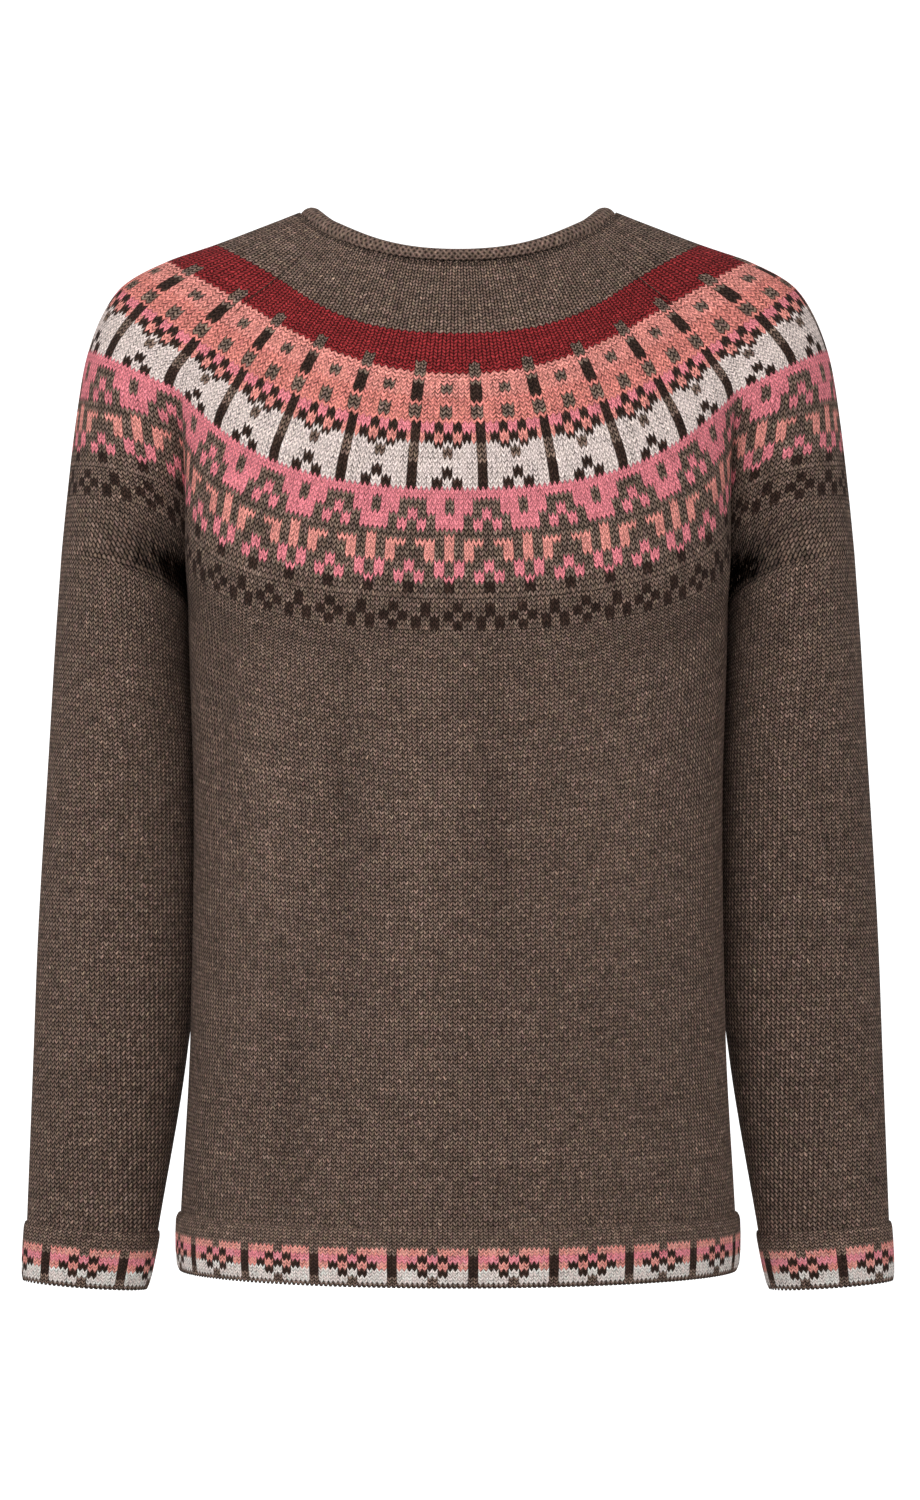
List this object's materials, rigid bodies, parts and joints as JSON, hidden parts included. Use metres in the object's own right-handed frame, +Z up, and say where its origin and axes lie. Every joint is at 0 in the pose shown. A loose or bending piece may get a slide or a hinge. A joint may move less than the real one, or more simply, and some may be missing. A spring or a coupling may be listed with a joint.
{
  "type": "nordic yoke sweater",
  "caption": "Hollow worn-form pullover sweater with a patterned round yoke, raglan sleeves, rolled neck edge and patterned turned hem and cuffs.",
  "frame": {"origin": "on the neck's axis, midway between front and back, at the height of the shoulders beside the neck: where the wearer's neck and shoulders hold the sweater", "axes": "+Z up, +Y out of the sweater's front, +X towards the wearer's right"},
  "size_m": [0.5318, 0.2343, 0.6566],
  "materials": {
    "body_knit": "soft brown melange wool, stocking stitch, with red, salmon, white and pink bands on the yoke",
    "sleeve_knit": "soft brown melange wool, stocking stitch, with the yoke's bands over the shoulder",
    "roll_knit": "brown melange wool, the stocking stitch's wrong side rolled outwards",
    "band_knit": "brown melange wool with a checked band in salmon, pink, white and dark brown"
  },
  "bodies": {
    "root": {"back": "body_knit", "front": "body_knit", "sleeve_left": "sleeve_knit", "sleeve_right": "sleeve_knit", "neck_roll": "roll_knit", "hem_band": "band_knit", "cuff_left": "band_knit", "cuff_right": "band_knit"}
  },
  "joints": []
}
